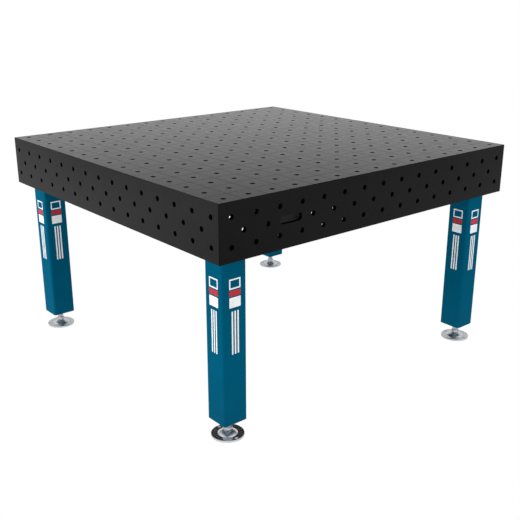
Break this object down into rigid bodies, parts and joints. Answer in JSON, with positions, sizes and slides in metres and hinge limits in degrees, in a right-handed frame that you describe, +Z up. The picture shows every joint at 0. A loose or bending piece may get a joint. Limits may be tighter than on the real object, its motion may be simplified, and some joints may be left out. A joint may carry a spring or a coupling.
{
  "type": "welding table",
  "caption": "Square welding table with a drilled steel box top, perforated side plates, painted square legs and swivelling levelling feet.",
  "frame": {"origin": "on the floor under the middle of the table", "axes": "+X to the right along the front face, +Y to the rear, +Z up"},
  "size_m": [1.5, 1.48, 0.88],
  "materials": {
    "nitrided_steel": "satin, dark nitrided",
    "blue_paint": "smooth powder coat, teal blue",
    "zinc_steel": "bright zinc",
    "black_fasteners": "black oxide",
    "black_plastic": "matt",
    "black_rubber": "matt",
    "white_vinyl": "gloss film",
    "red_vinyl": "gloss film"
  },
  "bodies": {
    "table_frame": {"top_plate": "nitrided_steel", "front_side_plate": "nitrided_steel", "rear_side_plate": "nitrided_steel", "left_side_plate": "nitrided_steel", "right_side_plate": "nitrided_steel", "left_long_rib": "nitrided_steel", "middle_long_rib": "nitrided_steel", "right_long_rib": "nitrided_steel", "front_cross_rib": "nitrided_steel", "rear_cross_rib": "nitrided_steel", "leg_long_nuts": "zinc_steel", "leg_bolts": "black_fasteners", "leg_bolt_washers": "black_fasteners", "leg_bolt_nuts": "black_fasteners", "leg_marks_white": "white_vinyl", "leg_marks_red": "red_vinyl", "front_left_corner_plate": "nitrided_steel", "front_left_leg_flange": "blue_paint", "front_left_leg_tube": "blue_paint", "front_left_foot_plate": "blue_paint", "front_right_corner_plate": "nitrided_steel", "front_right_leg_flange": "blue_paint", "front_right_leg_tube": "blue_paint", "front_right_foot_plate": "blue_paint", "rear_left_corner_plate": "nitrided_steel", "rear_left_leg_flange": "blue_paint", "rear_left_leg_tube": "blue_paint", "rear_left_foot_plate": "blue_paint", "rear_right_corner_plate": "nitrided_steel", "rear_right_leg_flange": "blue_paint", "rear_right_leg_tube": "blue_paint", "rear_right_foot_plate": "blue_paint"},
    "front_left_ball_cup": {"front_left_foot_ball_liner": "black_plastic"},
    "front_left_spindle": {"front_left_foot_spindle": "zinc_steel"},
    "front_left_swivel": {"front_left_foot_swivel_ring": "zinc_steel"},
    "front_left_base": {"front_left_foot_base": "zinc_steel", "front_left_foot_pad": "black_rubber"},
    "front_left_washer": {"front_left_lock_washer": "zinc_steel"},
    "front_left_nut": {"front_left_lock_nut": "zinc_steel"},
    "front_right_ball_cup": {"front_right_foot_ball_liner": "black_plastic"},
    "front_right_spindle": {"front_right_foot_spindle": "zinc_steel"},
    "front_right_swivel": {"front_right_foot_swivel_ring": "zinc_steel"},
    "front_right_base": {"front_right_foot_base": "zinc_steel", "front_right_foot_pad": "black_rubber"},
    "front_right_washer": {"front_right_lock_washer": "zinc_steel"},
    "front_right_nut": {"front_right_lock_nut": "zinc_steel"},
    "rear_left_ball_cup": {"rear_left_foot_ball_liner": "black_plastic"},
    "rear_left_spindle": {"rear_left_foot_spindle": "zinc_steel"},
    "rear_left_swivel": {"rear_left_foot_swivel_ring": "zinc_steel"},
    "rear_left_base": {"rear_left_foot_base": "zinc_steel", "rear_left_foot_pad": "black_rubber"},
    "rear_left_washer": {"rear_left_lock_washer": "zinc_steel"},
    "rear_left_nut": {"rear_left_lock_nut": "zinc_steel"},
    "rear_right_ball_cup": {"rear_right_foot_ball_liner": "black_plastic"},
    "rear_right_spindle": {"rear_right_foot_spindle": "zinc_steel"},
    "rear_right_swivel": {"rear_right_foot_swivel_ring": "zinc_steel"},
    "rear_right_base": {"rear_right_foot_base": "zinc_steel", "rear_right_foot_pad": "black_rubber"},
    "rear_right_washer": {"rear_right_lock_washer": "zinc_steel"},
    "rear_right_nut": {"rear_right_lock_nut": "zinc_steel"}
  },
  "joints": [
    {"name": "front_left_foot_height", "type": "slide", "parent": "table_frame", "child": "front_left_ball_cup", "axis": [0, 0, 1], "range_m": [-0.03, 0.012]},
    {"name": "front_left_spindle_turn", "type": "hinge", "parent": "front_left_ball_cup", "child": "front_left_spindle", "pos_m": [-0.653, -0.643, 0.0145], "axis": [0, 0, 1], "range_deg": [-3601, 1441]},
    {"name": "front_left_foot_tilt_sideways", "type": "hinge", "parent": "front_left_ball_cup", "child": "front_left_swivel", "pos_m": [-0.653, -0.643, 0.0145], "axis": [1, 0, 0], "range_deg": [-7, 7]},
    {"name": "front_left_foot_tilt_lengthways", "type": "hinge", "parent": "front_left_swivel", "child": "front_left_base", "pos_m": [-0.653, -0.643, 0.0145], "axis": [0, 1, 0], "range_deg": [-7, 7]},
    {"name": "front_left_washer_drop", "type": "slide", "parent": "table_frame", "child": "front_left_washer", "axis": [0, 0, 1], "range_m": [-0.0045, 0]},
    {"name": "front_left_lock_nut_turn", "type": "hinge", "parent": "front_left_washer", "child": "front_left_nut", "pos_m": [-0.653, -0.643, 0.058], "axis": [0, 0, 1], "range_deg": [-541, 0.5]},
    {"name": "front_right_foot_height", "type": "slide", "parent": "table_frame", "child": "front_right_ball_cup", "axis": [0, 0, 1], "range_m": [-0.03, 0.012]},
    {"name": "front_right_spindle_turn", "type": "hinge", "parent": "front_right_ball_cup", "child": "front_right_spindle", "pos_m": [0.653, -0.643, 0.0145], "axis": [0, 0, 1], "range_deg": [-3601, 1441]},
    {"name": "front_right_foot_tilt_sideways", "type": "hinge", "parent": "front_right_ball_cup", "child": "front_right_swivel", "pos_m": [0.653, -0.643, 0.0145], "axis": [1, 0, 0], "range_deg": [-7, 7]},
    {"name": "front_right_foot_tilt_lengthways", "type": "hinge", "parent": "front_right_swivel", "child": "front_right_base", "pos_m": [0.653, -0.643, 0.0145], "axis": [0, 1, 0], "range_deg": [-7, 7]},
    {"name": "front_right_washer_drop", "type": "slide", "parent": "table_frame", "child": "front_right_washer", "axis": [0, 0, 1], "range_m": [-0.0045, 0]},
    {"name": "front_right_lock_nut_turn", "type": "hinge", "parent": "front_right_washer", "child": "front_right_nut", "pos_m": [0.653, -0.643, 0.058], "axis": [0, 0, 1], "range_deg": [-541, 0.5]},
    {"name": "rear_left_foot_height", "type": "slide", "parent": "table_frame", "child": "rear_left_ball_cup", "axis": [0, 0, 1], "range_m": [-0.03, 0.012]},
    {"name": "rear_left_spindle_turn", "type": "hinge", "parent": "rear_left_ball_cup", "child": "rear_left_spindle", "pos_m": [-0.653, 0.643, 0.0145], "axis": [0, 0, 1], "range_deg": [-3601, 1441]},
    {"name": "rear_left_foot_tilt_sideways", "type": "hinge", "parent": "rear_left_ball_cup", "child": "rear_left_swivel", "pos_m": [-0.653, 0.643, 0.0145], "axis": [1, 0, 0], "range_deg": [-7, 7]},
    {"name": "rear_left_foot_tilt_lengthways", "type": "hinge", "parent": "rear_left_swivel", "child": "rear_left_base", "pos_m": [-0.653, 0.643, 0.0145], "axis": [0, 1, 0], "range_deg": [-7, 7]},
    {"name": "rear_left_washer_drop", "type": "slide", "parent": "table_frame", "child": "rear_left_washer", "axis": [0, 0, 1], "range_m": [-0.0045, 0]},
    {"name": "rear_left_lock_nut_turn", "type": "hinge", "parent": "rear_left_washer", "child": "rear_left_nut", "pos_m": [-0.653, 0.643, 0.058], "axis": [0, 0, 1], "range_deg": [-541, 0.5]},
    {"name": "rear_right_foot_height", "type": "slide", "parent": "table_frame", "child": "rear_right_ball_cup", "axis": [0, 0, 1], "range_m": [-0.03, 0.012]},
    {"name": "rear_right_spindle_turn", "type": "hinge", "parent": "rear_right_ball_cup", "child": "rear_right_spindle", "pos_m": [0.653, 0.643, 0.0145], "axis": [0, 0, 1], "range_deg": [-3601, 1441]},
    {"name": "rear_right_foot_tilt_sideways", "type": "hinge", "parent": "rear_right_ball_cup", "child": "rear_right_swivel", "pos_m": [0.653, 0.643, 0.0145], "axis": [1, 0, 0], "range_deg": [-7, 7]},
    {"name": "rear_right_foot_tilt_lengthways", "type": "hinge", "parent": "rear_right_swivel", "child": "rear_right_base", "pos_m": [0.653, 0.643, 0.0145], "axis": [0, 1, 0], "range_deg": [-7, 7]},
    {"name": "rear_right_washer_drop", "type": "slide", "parent": "table_frame", "child": "rear_right_washer", "axis": [0, 0, 1], "range_m": [-0.0045, 0]},
    {"name": "rear_right_lock_nut_turn", "type": "hinge", "parent": "rear_right_washer", "child": "rear_right_nut", "pos_m": [0.653, 0.643, 0.058], "axis": [0, 0, 1], "range_deg": [-541, 0.5]}
  ],
  "couplings": [
    {"joint": "front_left_spindle_turn", "follows": "front_left_foot_height", "rad_per_m": 2094.4},
    {"joint": "front_left_lock_nut_turn", "follows": "front_left_washer_drop", "rad_per_m": 2094.4},
    {"joint": "front_right_spindle_turn", "follows": "front_right_foot_height", "rad_per_m": 2094.4},
    {"joint": "front_right_lock_nut_turn", "follows": "front_right_washer_drop", "rad_per_m": 2094.4},
    {"joint": "rear_left_spindle_turn", "follows": "rear_left_foot_height", "rad_per_m": 2094.4},
    {"joint": "rear_left_lock_nut_turn", "follows": "rear_left_washer_drop", "rad_per_m": 2094.4},
    {"joint": "rear_right_spindle_turn", "follows": "rear_right_foot_height", "rad_per_m": 2094.4},
    {"joint": "rear_right_lock_nut_turn", "follows": "rear_right_washer_drop", "rad_per_m": 2094.4}
  ]
}
